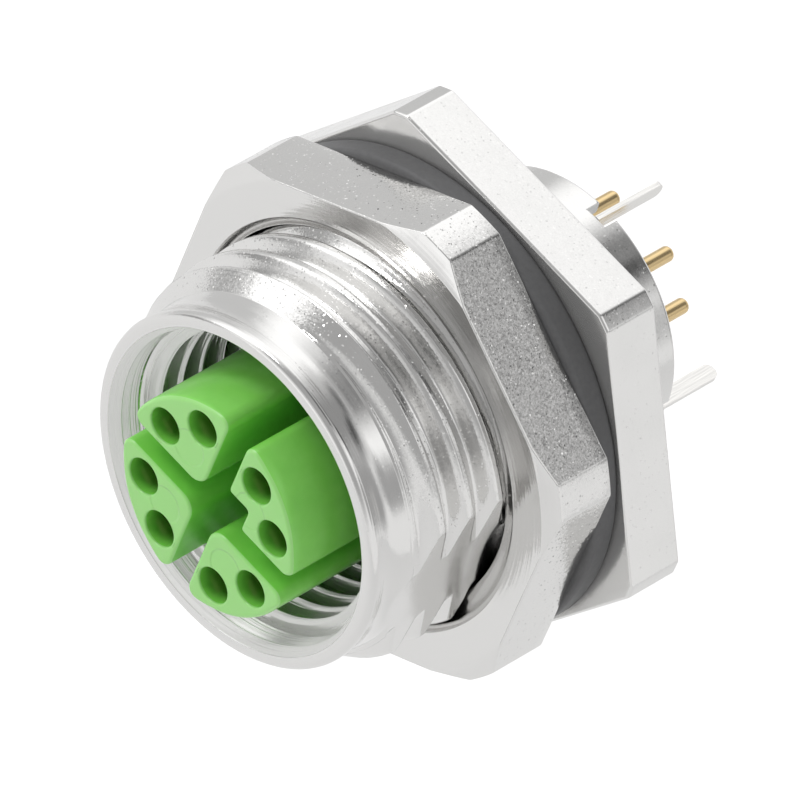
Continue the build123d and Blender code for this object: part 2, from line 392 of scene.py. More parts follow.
# %% [markdown]
# ## Nickel plate
# The housing and the nut are brass under nickel, which is a mirror with a fine grain. The blank was
# tumbled before plating, so its unmachined faces sparkle, while a turned face carries rings from the
# tool. An image or a darker colour would only look painted. What the eye sees is the slope of the
# surface, so every layer here bends the shading normal, and the colour stays the same. Attributes on
# the mesh say how much of each layer a vertex has. The scales are in cells a metre.


# %% Nickel plate
plate_colour = (0.72, 0.715, 0.705, 1.0)
cell_scale, even_tilt, speck_tilt, speck_above = 19000.0, 0.09, 0.6, 0.94
groove_scale, groove_spread, groove_lean = 18000.0, 5.0, -3.7
ring_scale, ring_depth, ring_strength = 7000.0, 0.02 * MM, 0.3
wave_scale, wave_depth, wave_strength = 3500.0, 0.04 * MM, 0.16
stain_scale, least_rough, most_rough = 600.0, 0.10, 0.19
groove_rough, groove_dark = 0.06, 0.3


def tilted_cells(tree, place, share):
    """A small random tilt for each cell of the plate, and a large one for a speck here and there."""
    cells = add_node(tree, "ShaderNodeTexVoronoi", {"Vector": place, "Scale": cell_scale})
    around = add_node(tree, "ShaderNodeVectorMath", {0: cells.outputs["Color"], 1: (0.5, 0.5, 0.5)},
                      operation="SUBTRACT")
    chance = add_node(tree, "ShaderNodeTexWhiteNoise", {"Vector": cells.outputs["Position"]})
    speck = math_node(tree, "GREATER_THAN", chance.outputs["Value"], speck_above)
    size = math_node(tree, "MULTIPLY_ADD", speck, speck_tilt, even_tilt)
    size = math_node(tree, "MULTIPLY", size, share)
    return add_node(tree, "ShaderNodeVectorMath", {0: around.outputs[0], "Scale": size}, operation="SCALE")


def groove_tilt(tree, section_place, share):
    """The lean of fine grooves round the axis. Only their flanks that face the mouth can be seen from
    in front, so the slope leans that way, more or less."""
    height = noise_node(tree, section_place, groove_scale, 2.0)
    lean = math_node(tree, "MULTIPLY_ADD", height, groove_spread, groove_lean)
    lean = math_node(tree, "MULTIPLY", lean, share)
    return add_node(tree, "ShaderNodeCombineXYZ", {0: 0.0, 1: lean, 2: 0.0})


def nickel_plate():
    """Metal whose slope comes from tool rings round the Y axis, a soft wave, tilted cells and grooves.
    The attributes grain, rings and grooves on the mesh say how much of each there is. A soft stain
    varies the gloss, and where there are grooves the metal is also a little rougher and darker."""
    material, output = new_material("nickel_plate")
    tree = material.node_tree
    place = object_place(tree)
    grain, rings, grooves = (add_node(tree, "ShaderNodeAttribute", attribute_name=name).outputs["Fac"]
                             for name in ("grain", "rings", "grooves"))
    x, y, z = add_node(tree, "ShaderNodeSeparateXYZ", {0: place}).outputs
    from_axis = length_node(tree, x, z)
    section_place = add_node(tree, "ShaderNodeCombineXYZ", {0: from_axis, 1: y, 2: 0.0}).outputs[0]
    slope = bump_node(tree, noise_node(tree, section_place, ring_scale, 2.0, 0.55), ring_depth,
                      math_node(tree, "MULTIPLY", rings, ring_strength))
    slope = bump_node(tree, noise_node(tree, place, wave_scale, 3.0, 0.6), wave_depth,
                      math_node(tree, "MULTIPLY", grain, wave_strength), slope)
    for tilt in (tilted_cells(tree, place, grain), groove_tilt(tree, section_place, grooves)):
        tilted = add_node(tree, "ShaderNodeVectorMath", {0: slope, 1: tilt.outputs[0]}, operation="ADD")
        slope = tilted.outputs[0]
    slope = add_node(tree, "ShaderNodeVectorMath", {0: slope}, operation="NORMALIZE").outputs[0]
    stain = noise_node(tree, place, stain_scale, 2.0)
    rough = add_node(tree, "ShaderNodeMapRange",
                     {0: stain, 1: 0.3, 2: 0.7, 3: least_rough, 4: most_rough}).outputs[0]
    metal = add_node(tree, "ShaderNodeBsdfPrincipled",
                     {"Base Color": plate_colour, "Normal": slope,
                      "Roughness": math_node(tree, "MULTIPLY_ADD", grooves, groove_rough, rough),
                      "Metallic": math_node(tree, "MULTIPLY_ADD", grooves, -groove_dark, 1.0)})
    tree.links.new(metal.outputs[0], output.inputs[0])
    return material


nickel = nickel_plate()
print(nickel.name, "has", len(nickel.node_tree.nodes), "nodes")

# %% [markdown]
# ## Rubber and moulding
# The seal is dull dark rubber, and a fine noise gives it the grain of its mould. The insert is glossy
# green nylon that lets a little light in, so it gets some subsurface scattering, and its orange-peel
# is bump. The faces of the lobes get a paler green than their sides, a painted sheen that stands for
# the light they catch. The pins that pushed the moulding out left a round step on each face, only
# hundredths of a millimetre deep, so it is bump as well, worked out from the distance to the pin's
# middle.


# %% Rubber and moulding
rubber_dark, rubber_light = (0.082, 0.082, 0.084), (0.12, 0.12, 0.122)
# The third green is paler, for the faces of the lobes: a painted sheen for the light they catch.
nylon_dark, nylon_light, nylon_face_sheen = (0.20, 0.64, 0.085), (0.25, 0.72, 0.11), (0.33, 0.72, 0.21)
pin_place, pin_radius, pin_blur, pin_depth = 1.62 * MM, 0.72 * MM, 0.05 * MM, 0.03 * MM
face_reach = 1.2 * MM - mouth_y


def colour_ramp(tree, value, dark, light):
    """A colour that goes from dark to light as the value goes from 0 to 1."""
    ramp = add_node(tree, "ShaderNodeValToRGB", {0: value})
    ramp.color_ramp.elements[0].color = (*dark, 1.0)
    ramp.color_ramp.elements[1].color = (*light, 1.0)
    return ramp.outputs[0]


def seal_rubber():
    """Dark grey rubber, dull, with a little mould grain."""
    material, output = new_material("seal_rubber")
    tree = material.node_tree
    grain = noise_node(tree, object_place(tree), 5000.0, 3.0)
    shade = colour_ramp(tree, grain, rubber_dark, rubber_light)
    rubber = add_node(tree, "ShaderNodeBsdfPrincipled",
                      {"Base Color": shade, "Roughness": 0.55,
                       "Normal": bump_node(tree, grain, 0.02 * MM, 0.3)})
    tree.links.new(rubber.outputs[0], output.inputs[0])
    return material


def ejector_step(tree, x, z):
    """0 within the round mark of an ejector pin and 1 outside it. With |x| and |z| the four lobes lie
    on each other, so one circle of pin_radius about (pin_place, pin_place) makes all four marks."""
    across, up = math_node(tree, "SUBTRACT", x, pin_place), math_node(tree, "SUBTRACT", z, pin_place)
    step = add_node(tree, "ShaderNodeMapRange",
                    {0: length_node(tree, across, up), 1: pin_radius - pin_blur, 2: pin_radius + pin_blur},
                    interpolation_type="SMOOTHSTEP")
    return step.outputs[0]


def green_moulding():
    """Glossy green nylon with a soft orange-peel from the mould and a little light inside it. The
    faces of the lobes, which lie further out than face_reach, have the pins' marks and a paler green
    that is a painted sheen."""
    material, output = new_material("green_moulding")
    tree = material.node_tree
    place = object_place(tree)
    peel = noise_node(tree, place, 1800.0, 3.0)
    folded = add_node(tree, "ShaderNodeVectorMath", {0: place}, operation="ABSOLUTE")
    x, y, z = add_node(tree, "ShaderNodeSeparateXYZ", {0: folded.outputs[0]}).outputs
    on_face = math_node(tree, "GREATER_THAN", y, face_reach)
    slope = bump_node(tree, peel, 0.04 * MM, 0.12)
    slope = bump_node(tree, ejector_step(tree, x, z), pin_depth, on_face, slope)
    shade = colour_ramp(tree, peel, nylon_dark, nylon_light)
    # The faces of the lobes get the paler green, which is painted sheen.
    colour = add_node(tree, "ShaderNodeMix", {0: on_face, 6: shade, 7: (*nylon_face_sheen, 1.0)},
                      data_type="RGBA")
    nylon = add_node(tree, "ShaderNodeBsdfPrincipled",
                     {"Base Color": colour.outputs[2], "Roughness": 0.27, "IOR": 1.6, "Normal": slope,
                      "Subsurface Weight": 0.15, "Subsurface Radius": (0.2, 0.6, 0.1),
                      "Subsurface Scale": 0.4 * MM})
    tree.links.new(nylon.outputs[0], output.inputs[0])
    return material


rubber, green = seal_rubber(), green_moulding()
print("faces of the lobes beyond", face_reach)

# %% [markdown]
# ## Gold and tin
# The contacts are gold plated, and the shield is tinned sheet. Both were drawn or rolled along Y, which
# leaves faint lines that way. A noise that is stretched along Y gives them, in the gloss and the slope.


# %% Gold and tin
def plain_metal(name, colour, roughness, scratch):
    """A plated wire or sheet: a mirror of one colour, drawn along the Y axis by its die."""
    material, output = new_material(name)
    tree = material.node_tree
    drawn = add_node(tree, "ShaderNodeMapping", {0: object_place(tree), 3: (1.0, 0.08, 1.0)})
    lines = noise_node(tree, drawn.outputs[0], 9000.0, 2.0)
    gloss = add_node(tree, "ShaderNodeMapRange",
                     {0: lines, 1: 0.3, 2: 0.7, 3: roughness * 0.8, 4: roughness * 1.25})
    metal = add_node(tree, "ShaderNodeBsdfPrincipled",
                     {"Base Color": (*colour, 1.0), "Metallic": 1.0, "Roughness": gloss.outputs[0],
                      "Normal": bump_node(tree, lines, 0.02 * MM, scratch)})
    tree.links.new(metal.outputs[0], output.inputs[0])
    return material


gold = plain_metal("gold_plate", (0.72, 0.55, 0.30), roughness=0.22, scratch=0.15)
tinned = plain_metal("tinned_sheet", (0.74, 0.73, 0.71), roughness=0.16, scratch=0.3)
print("materials", [m.name for m in bpy.data.materials])

# %% [markdown]
# ## The two threads
# A thread is one groove that winds round the axis. Seen as a height map over angle and station, it
# is a wave that moves by one pitch in each turn, so its phase is station / pitch + turns. The crest
# lies where the phase is a whole number. The outside thread is cut into the nose and fits the nut,
# the inside one is the metric thread that the plug screws into.

# %% Thread shapes
nose_pitch = 1.411 * MM
nose_crest, nose_root = 7.62 * MM, 6.93 * MM
nose_crest_station = mouth_y + 4.06 * MM
nose_crest_angle = np.radians(52.5)
plug_pitch = 1.0 * MM
plug_crest, plug_root = 5.46 * MM, 6.05 * MM
plug_groove_station = mouth_y + 1.4 * MM
plug_groove_angle = np.radians(150.0)


def thread_wave(station, angle, pitch, zero_station, zero_angle, crest_flat, root_flat):
    """1 on the crest and 0 in the root. The phase is (station - zero) / pitch + turns, the distance
    from the nearest crest is its fold to 0..0.5, and the flank between the flats is an eased line."""
    phase = (station - zero_station) / pitch + (angle - zero_angle) / (2 * np.pi)
    distance = np.abs(phase - np.round(phase))
    flank = np.clip((0.5 - root_flat - distance) / (0.5 - root_flat - crest_flat), 0.0, 1.0)
    eased = flank * flank * (3 - 2 * flank)
    return 0.45 * flank + 0.55 * eased


def nose_thread(station, angle):
    """Radius of the outside thread: it runs between the root and the crest."""
    wave = thread_wave(station, angle, nose_pitch, nose_crest_station, nose_crest_angle,
                       crest_flat=0.07, root_flat=0.09)
    return nose_root + (nose_crest - nose_root) * wave


def plug_thread(station, angle):
    """Radius of the inside thread: its groove is the farthest from the axis."""
    wave = thread_wave(station, angle, plug_pitch, plug_groove_station, plug_groove_angle,
                       crest_flat=0.05, root_flat=0.1)
    return plug_crest + (plug_root - plug_crest) * wave


print("threads:", nose_pitch, plug_pitch)

# %% [markdown]
# ## The nose
# The nose is turned from bar: a rounded lip, a slightly hollow band, a cone and the outside thread.
# Then one side of the thread is milled flat, so that the connector can't turn in its hole in the
# panel. Each point of the outside takes the smallest of three radii: the turned blank, the thread
# and the flat, which is flat_x / cos(angle). The cut crests give the zigzag edge of the flat, so the
# columns stand closer together there. Where the tool has cut below the tumbled blank, the sparkle is
# less. The mating thread is a second ring, since it needs other rows.

# %% Nose of the housing
lip_radius = 6.9 * MM
mouth_radius = 6.3 * MM
entry_radius = 6.05 * MM
neck_radius = 6.68 * MM
nose_radius = 6.86 * MM
flat_x = 6.75 * MM
cone_start_y = mouth_y + 1.82 * MM
cone_end_y = cone_start_y + (nose_crest - nose_radius)
inside_start_y = mouth_y + 1.25 * MM
web_front_y = -1.4 * MM
buried = 0.2 * MM
core_radius = 6.35 * MM
outer_radius = 6.6 * MM
fine_step, coarse_step = 0.05 * MM, 0.2 * MM
near_flat, fine_turn, coarse_turn = 34, 0.4, 1.25
neck_middle_y = (mouth_y + 0.3 * MM + cone_start_y) / 2


def ring_rows(line, angles):
    """Radius, station and angle arrays of a section line, one column for each angle."""
    shape = (len(line), len(angles))
    return (np.broadcast_to(line[:, :1], shape).copy(), np.broadcast_to(line[:, 1:], shape).copy(),
            np.broadcast_to(angles, shape))


blank = section([
    (mouth_radius, mouth_y, 0.06 * MM),
    (lip_radius, mouth_y, 0.27 * MM),
    (neck_radius, neck_middle_y, 1.6 * MM),
    (nose_radius, cone_start_y, 0.08 * MM),
    (nose_crest, cone_end_y, 0.06 * MM),
    (nose_crest, nut_front_y + 0.3 * MM, 0.0),
    (nose_crest, buried, 0.0),
    (core_radius, buried, 0.0),
    (core_radius, inside_start_y + 0.1 * MM, 0.0),
    (entry_radius, inside_start_y + 0.1 * MM, 0.0),
    (entry_radius, mouth_y + 0.4 * MM, 0.05 * MM),
], arc_steps=5)
in_sight = (blank[:, 1] < nut_front_y) & (blank[:, 0] > neck_radius) & (blank[:, 1] > neck_middle_y)
line = refined(blank, np.where(in_sight, fine_step, coarse_step))
turns = np.radians(np.concatenate([np.arange(-near_flat, near_flat, fine_turn),
                                   np.arange(near_flat, 360 - near_flat, coarse_turn)]))
radius, station, angle = ring_rows(line, turns)
outside = (line[:, 0] > outer_radius) & (line[:, 1] > neck_middle_y)
cut = smooth_least(radius, nose_thread(station, angle), 0.05 * MM)
polish = np.clip((radius - cut) / (0.1 * MM), 0.0, 1.0)
milled = np.where(np.cos(angle) > 0.5, flat_x / np.maximum(np.cos(angle), 0.5), 1.0)
on_flat = outside[:, None] & (milled < cut)
cut = smooth_least(cut, milled, 0.01 * MM)
radius = np.where(outside[:, None], cut, radius)
behind_neck = np.clip((line[:, 1:] - cone_start_y) / (0.1 * MM), 0.0, 1.0) * outside[:, None]
in_mouth = np.where(line[:, :1] < mouth_radius + 0.02 * MM, 1.0, 0.0)
nose_grain = 0.12 + 0.4 * in_mouth + 0.6 * behind_neck * (1 - 0.5 * polish)
nose = grid_object("housing_nose", round_the_axis(radius, station, angle), nickel,
                   {"grain": nose_grain * (1 - 0.9 * on_flat), "rings": 0.6 * (1 - on_flat),
                    "grooves": in_mouth})

# %% Mating thread inside the nose
bore = refined(np.array([
    (plug_crest, inside_start_y),
    (core_radius, inside_start_y),
    (core_radius, web_front_y + buried),
    (plug_crest, web_front_y + buried),
]), np.array([0.2, 1.0, 0.2, 0.085]) * MM)
turns = np.radians(np.arange(0, 360, 1.5))
radius, station, angle = ring_rows(bore, turns)
on_bore = (bore[:, 0] < plug_root) & (bore[:, 1] < web_front_y + buried)
bored = -smooth_least(-radius, -plug_thread(station, angle), 0.04 * MM)
radius = np.where(on_bore[:, None], bored, radius)
in_root = np.where(on_bore[:, None], (radius - plug_crest) / (plug_root - plug_crest), 1.0)
thread = grid_object("mating_thread", round_the_axis(radius, station, angle), nickel,
                     {"grain": 0.1, "rings": 0.9, "grooves": 1.0 - 0.9 * in_root ** 5})

# %% [markdown]
# ## Hexagons
# The nut and the flange are hexagonal bar with its corners turned off. Round the axis a hexagon's
# radius is apothem / cos(angle from the middle of the flat), and the turned corner is a circle, so
# the outline is the smaller of the two. The angles are spaced more closely at the corners.


# %% Hexagon helpers
def hexagon_angles(apothem, corner):
    """Angles round a hexagon whose first flat faces angle 0: even steps, with more at each edge."""
    edge = np.degrees(np.arccos(apothem / corner))
    near = edge + np.array([-0.9, -0.5, -0.25, -0.1, 0.0, 0.1, 0.25, 0.5, 0.9])
    side = np.concatenate([np.arange(0, 30, 1.5), near[near < 30]])
    whole = np.unique(np.round(np.concatenate([side, -side, [30.0]]), 4))
    return np.radians(np.concatenate([whole + 60 * k for k in range(6)]))


def hexagon_radius(angle, apothem, corner):
    """The smaller of apothem / cos(angle from the flat's middle) and the corner's circle."""
    from_flat = (angle + np.pi / 6) % (np.pi / 3) - np.pi / 6
    return smooth_least(apothem / np.cos(from_flat), corner, 0.03 * MM)


# %% [markdown]
# ## The lock nut
# Its front corners are bevelled on the lathe, which leaves the arcs that are bright in the picture:
# a cone of 30 degrees cuts each corner and runs out on the flats. The front face is turned, so it
# has rings. The bore carries the same thread as the nose, a hair wider, and a countersink.

# %% Lock nut
nut_gap = 0.08 * MM
nut_bore = nose_crest + nut_gap
nut_countersink = 0.25 * MM
bevel_start = nut_apothem + 0.35 * MM
bevel_slope = np.tan(np.radians(30))
edge = 0.05 * MM
side_rows = 6
angles = hexagon_angles(nut_apothem, nut_corner)
outline = hexagon_radius(angles, nut_apothem, nut_corner)
inner = nut_bore + nut_countersink
face_radii = [np.full_like(outline, inner), np.full_like(outline, inner + 0.04 * MM),
              np.full_like(outline, inner + 0.4 * MM)]
face_radii += [np.minimum(bevel_start + step, outline - edge - k * 0.02 * MM)
               for k, step in zip((4, 3, 2, 1, 0), np.array([-0.06, -0.02, 0.0, 0.02, 0.06]) * MM)]
face_radii += [outline - edge]
face_radii = np.array(face_radii)
face_stations = nut_front_y + np.maximum(face_radii - bevel_start, 0.0) * bevel_slope
edge_angles = np.linspace(0, np.pi / 2, 5)[1:]
edge_radii = outline - edge + edge * np.sin(edge_angles)[:, None]
edge_stations = face_stations[-1] + edge - edge * np.cos(edge_angles)[:, None]
side_share = np.linspace(0.02, 1.0, side_rows)[:, None]
side_stations = side_share * (nut_rear_y - edge - edge_stations[-1]) + edge_stations[-1]
rear_stations = nut_rear_y - edge + edge * np.sin(edge_angles)[:, None] * np.ones_like(outline)
rear_radii = outline - edge + edge * np.cos(edge_angles)[:, None]
bore_line = refined(np.array([[nut_bore, nut_rear_y], [nut_bore, nut_front_y + nut_countersink]]),
                    0.07 * MM, closed=False)
bore_stations = np.repeat(bore_line[:, 1:], len(angles), axis=1)
bore_radii = np.minimum(nut_bore, nose_thread(bore_stations, angles) + nut_gap)
ends = np.clip((bore_stations - nut_front_y - nut_countersink) / (0.3 * MM), 0.0, 1.0)
bore_radii = nut_bore + (bore_radii - nut_bore) * ends
side_radii = np.repeat(outline[None], side_rows, axis=0)
radius = np.concatenate([face_radii, edge_radii, side_radii, rear_radii, bore_radii])
station = np.concatenate([face_stations, edge_stations, side_stations, rear_stations, bore_stations])
angle = np.broadcast_to(angles, radius.shape)
row = np.arange(len(radius))[:, None]
on_face = row < len(face_radii)
on_side = (row >= len(face_radii)) & (row < len(radius) - len(bore_radii))
nut = grid_object("lock_nut", round_the_axis(radius, station, angle), nickel,
                  {"grain": 0.1 + 0.55 * on_side, "rings": 0.1 + 0.9 * on_face, "grooves": 0.0})

# %% [markdown]
# ## The flange and the sleeve
# Behind the nut the housing widens to its own hexagon, turned by 30 degrees from the nut, and ends
# in a round sleeve with a notch for each tab of the shield. The notches are made by pulling the rows
# of the rim down where the angle lies within a notch.

# %% Flange and sleeve of the housing
flange_thickness = 2.35 * MM
sleeve_radius = 5.4 * MM
bore_radius = 4.85 * MM
web_radius = 4.3 * MM
web_rear_y = -0.5 * MM
notch_width, notch_radius = 0.9 * MM, 5.1 * MM
notch_half = np.degrees(notch_width / 2 / notch_radius)
notch_depth = 0.6 * MM
flange_edge = 0.12 * MM
rim_width = 4.0 * MM
base_angles = np.degrees(hexagon_angles(flange_apothem, flange_corner)) + 30
notch_sides = np.concatenate([[90 * k - notch_half, 90 * k - notch_half - 0.05,
                               90 * k + notch_half, 90 * k + notch_half + 0.05] for k in range(4)])
angles = np.unique(np.round(np.concatenate([base_angles, notch_sides]) % 360, 3))
in_notch = np.abs((angles + 45) % 90 - 45) < notch_half + 0.02
angles = np.radians(angles)
outline = hexagon_radius(angles - np.pi / 6, flange_apothem, flange_corner)
rim = section([
    (0.0, 0.0, flange_edge),
    (0.0, flange_thickness, 0.08 * MM),
    (-rim_width, flange_thickness, 0.0),
    (-rim_width, 0.0, 0.0),
])
rim = rim[rim[:, 0] > 0.1 * MM - rim_width]
rim_radii = outline + rim[:, :1]
rim_stations = np.repeat(rim[:, 1:], len(angles), axis=1)
back = section([
    (7.0 * MM, flange_thickness, 0.0),
    (sleeve_radius, flange_thickness, 0.1 * MM),
    (sleeve_radius, sleeve_end_y, 0.12 * MM),
    (bore_radius, sleeve_end_y, 0.08 * MM),
    (bore_radius, web_rear_y, 0.0),
    (web_radius, web_rear_y, 0.05 * MM),
    (web_radius, web_front_y, 0.05 * MM),
    (core_radius, web_front_y, 0.0),
    (core_radius, 0.0, 0.0),
    (nose_crest - 0.2 * MM, 0.0, 0.0),
])
back = refined(back, 0.8 * MM, closed=False)
back_radii = np.repeat(back[:, :1], len(angles), axis=1)
back_stations = np.repeat(back[:, 1:], len(angles), axis=1)
near_rim = np.clip((back_stations - sleeve_end_y + 0.5 * MM) / (0.01 * MM), 0.0, 1.0)
back_stations = back_stations - notch_depth * near_rim * in_notch
radius = np.concatenate([rim_radii, back_radii])
station = np.concatenate([rim_stations, back_stations])
angle = np.broadcast_to(angles, radius.shape)
flange = grid_object("housing_flange", round_the_axis(radius, station, angle), nickel,
                     {"grain": 0.2, "rings": 0.2, "grooves": np.where(station < 1e-6, 0.6, 0.0)})

# %% [markdown]
# ## The seal
# A flat rubber ring with softly rounded edges is squeezed between the flange and the panel. A torus
# would be round in section, so this is one more ring from a section, with an arc at each corner.

# %% Flange seal
seal_bore = 7.75 * MM
line = section([
    (seal_bore, 0.0, 0.1 * MM),
    (seal_radius, 0.0, 0.18 * MM),
    (seal_radius, seal_front_y, 0.18 * MM),
    (seal_bore, seal_front_y, 0.1 * MM),
])
radius, station, angle = ring_rows(line, np.radians(np.arange(0, 360, 1.5)))
seal = grid_object("panel_seal", round_the_axis(radius, station, angle), rubber)

# %% [markdown]
# ## The lobes of the insert
# Four lobes stand on a round base, each with two holes, and a square notch in one of them codes the
# plug. A lobe's outline is the place where a field is zero: the field is the largest of the signed
# distances to its walls, with the corners between them rounded, and it is minus d on the outline
# drawn in by d. That gives the moulded edge: its rows are outlines drawn in less and less as they go
# down. Seen from a hole's centre each half of a lobe is convex, so a ray finds each outline point.
# The half is then mirrored, welded to its twin, and turned onto the four lobes.

# %% Fields of a lobe
face_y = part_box("contact_carrier")[0].y
slot_floor_y = -2.9 * MM
lobe_radius = 4.25 * MM
slot_half = 0.5 * MM
key_reach = 1.55 * MM
corner_round = 0.5 * MM
tip_round = 0.65 * MM
key_round = 0.16 * MM
hole_u, hole_v = 3.04 * MM, 1.0 * MM
hole_radius = 0.71 * MM
hole_edge = 0.07 * MM
cavity_radius = 0.78 * MM
cavity_y = face_y + 1.2 * MM
lobe_foot_y = slot_floor_y - 0.03 * MM
halvings = 36


def rounded_most(a, b, radius):
    """The larger of two distances, with an arc of the radius in place of the outer corner."""
    return (np.minimum(np.maximum(a, b), -radius)
            + np.hypot(np.maximum(a + radius, 0.0), np.maximum(b + radius, 0.0)))


def lobe_field(u, v, keyed):
    """Signed distance to the outline, less than 0 inside. u runs along the lobe and v across it."""
    x, z = (u - v) / np.sqrt(2), (u + v) / np.sqrt(2)
    walls = rounded_most(slot_half - x, slot_half - z, tip_round)
    field = rounded_most(walls, np.hypot(x, z) - lobe_radius, corner_round)
    if keyed:
        notch = -rounded_most(x - key_reach, z - key_reach, key_round)
        field = rounded_most(field, notch, key_round)
    return field


def reach(u, v, angle, inset, keyed):
    """Distance along rays from (u, v) to the outline drawn in by inset, found by halving."""
    near, far = np.zeros(np.shape(angle)), np.full(np.shape(angle), 2 * lobe_radius)
    for _ in range(halvings):
        middle = (near + far) / 2
        inside = lobe_field(u + middle * np.cos(angle), v + middle * np.sin(angle), keyed) < -inset
        near, far = np.where(inside, middle, near), np.where(inside, far, middle)
    return near


# %% Half a lobe, mirrored and welded
outline_share = np.linspace(0, 1, 97)
seam_share = np.linspace(0, 1, 17)[1:-1]
weld_step = 1e-9


def half_outline(inset, keyed):
    """Points (u, v) round half a lobe: its outline from tip to rim, then back along the seam, v = 0.
    inset holds one value for each of these points."""
    turns = len(outline_share)
    tip = hole_u - reach(hole_u, 0.0, np.pi, inset[0], keyed)
    rim = hole_u + reach(hole_u, 0.0, 0.0, inset[turns - 1], keyed)
    first = np.arctan2(-hole_v, tip - hole_u)
    last = np.arctan2(-hole_v, rim - hole_u) - 2 * np.pi
    angle = first + (last - first) * outline_share
    distance = reach(hole_u, hole_v, angle, inset[:turns], keyed)
    u, v = hole_u + distance * np.cos(angle), hole_v + distance * np.sin(angle)
    u[0], u[-1], v[0], v[-1] = tip, rim, 0.0, 0.0
    seam = rim + (tip - rim) * seam_share
    return np.concatenate([u, seam]), np.concatenate([v, np.zeros_like(seam)])


def half_lobe(keyed, side_edge, rim_edge, rim_depth):
    """Grid of points (u, station, v): hole wall, rounded hole edge, face, moulded edge, side, foot.
    The moulded edge is side_edge wide at the slots, and rim_edge wide and rim_depth deep at the rim."""
    share = np.concatenate([outline_share, 1 - seam_share])
    rim_share = np.clip((share - 0.5) / 0.25, 0.0, 1.0)
    rim_share = rim_share ** 2 * (3 - 2 * rim_share)
    width = side_edge + (rim_edge - side_edge) * rim_share
    depth = side_edge + (rim_depth - side_edge) * rim_share
    quarter = np.linspace(0, np.pi / 2, 7)
    flat_u, flat_v = half_outline(width + guard, keyed)
    way = np.arctan2(flat_v - hole_v, flat_u - hole_u)
    rings = [(cavity_radius, lobe_foot_y), (cavity_radius, cavity_y), (hole_radius, cavity_y)]
    rings += [(hole_radius, face_y + hole_edge + guard)]
    rings += [(hole_radius + hole_edge * (1 - np.cos(q)), face_y + hole_edge * (1 - np.sin(q)))
              for q in quarter]
    rings += [(hole_radius + hole_edge + guard, face_y)]
    rows = [(hole_u + r * np.cos(way), np.full_like(way, y), hole_v + r * np.sin(way)) for r, y in rings]
    ring_u, _, ring_v = rows[-1]
    rows += [(ring_u + (flat_u - ring_u) * t, np.full_like(way, face_y), ring_v + (flat_v - ring_v) * t)
             for t in (0.33, 0.67, 1.0)]
    for q in quarter:
        u, v = half_outline(width * (1 - np.sin(q)), keyed)
        rows.append((u, face_y + depth * (1 - np.cos(q)), v))
    u, v = rows[-1][0], rows[-1][2]
    start = face_y + depth
    rows += [(u, start + (lobe_foot_y - start) * t, v) for t in (0.01, 0.25, 0.5, 0.75, 1.0)]
    return np.array([np.stack(row, axis=-1) for row in rows])


def merged(points, quads):
    """One point for each place, places being counted in nanometres, and the quads between them."""
    places, index = np.unique(np.round(points / weld_step), axis=0, return_inverse=True)
    return places * weld_step, index.ravel()[quads]


def lobe_mesh(half):
    """Points and faces of a whole lobe. The quads that lie in the seam are left out of each half, and
    points of the two halves that share a place become one."""
    flat, quads = grid_quads(half)
    quads = quads[~np.all(flat[quads, 2] == 0.0, axis=1)]
    twin = flat * np.array([1, 1, -1])
    return merged(np.concatenate([flat, twin]), np.concatenate([quads, quads[:, ::-1] + len(flat)]))


side_edge, rim_edge, rim_depth, keyed_rim_depth = 0.12 * MM, 0.18 * MM, 0.2 * MM, 0.5 * MM
points, faces, first = [], [], 0
for keyed, middles in ((True, (45,)), (False, (135, 225, 315))):
    shape, quads = lobe_mesh(half_lobe(keyed, side_edge, rim_edge, keyed_rim_depth if keyed else rim_depth))
    for middle in np.radians(middles):
        u, y, v = shape.T
        points.append(np.stack([u * np.cos(middle) - v * np.sin(middle), y,
                                u * np.sin(middle) + v * np.cos(middle)], axis=-1))
        faces.append(quads + first)
        first += len(shape)
lobes = mesh_object("insert_lobes", np.concatenate(points), np.concatenate(faces).tolist(), green)

# %% [markdown]
# ## The base of the insert
# The base behind the slots is plain: a turned disc with a groove, cavities and slits. The solid has
# all that, so a copy of it is cut off at the slots' floor, and the cuts are filled.

# %% Base of the insert
base_mesh = nodes["contact_carrier"].data.copy()
base_mesh.name = "insert_base"
shell = bmesh.new()
shell.from_mesh(base_mesh)
bmesh.ops.remove_doubles(shell, verts=shell.verts, dist=1e-7)
everything = shell.verts[:] + shell.edges[:] + shell.faces[:]
bmesh.ops.bisect_plane(shell, geom=everything, dist=1e-8, plane_co=(0.0, lobe_foot_y, 0.0),
                       plane_no=(0.0, -1.0, 0.0), clear_outer=True)
open_edges = [e for e in shell.edges if e.is_boundary]
bmesh.ops.triangle_fill(shell, edges=open_edges, use_beauty=True, normal=(0.0, -1.0, 0.0))
bmesh.ops.recalc_face_normals(shell, faces=shell.faces)
print("insert base: open edges", sum(e.is_boundary for e in shell.edges), "faces", len(shell.faces))
shell.to_mesh(base_mesh)
shell.free()
base_mesh.materials.clear()
base_mesh.materials.append(green)
insert_base = bpy.data.objects.new("insert_base", base_mesh)
bpy.context.scene.collection.objects.link(insert_base)

# %% [markdown]
# ## Contacts
# Each contact is turned from rod: a socket that a slit splits into two tongues, a barrel, a square
# shank and a round pin with a rounded end. The section starts and ends on the axis, so the first and
# last rows shrink to one point each. The slit is made by pulling the front rows back where the angle
# lies within it, and points that then share a place are welded.

# %% Contacts
barrel_radius, socket_radius, tail_radius = 0.75 * MM, 0.42 * MM, 0.3 * MM
socket_depth, slit_depth = 5.2 * MM, 3.6 * MM
slit_turn = 7.0
shank_half, shank_front_y, shank_rear_y = 0.45 * MM, 3.0 * MM, 6.4 * MM
tail_round = 0.2 * MM
hair = 1e-6


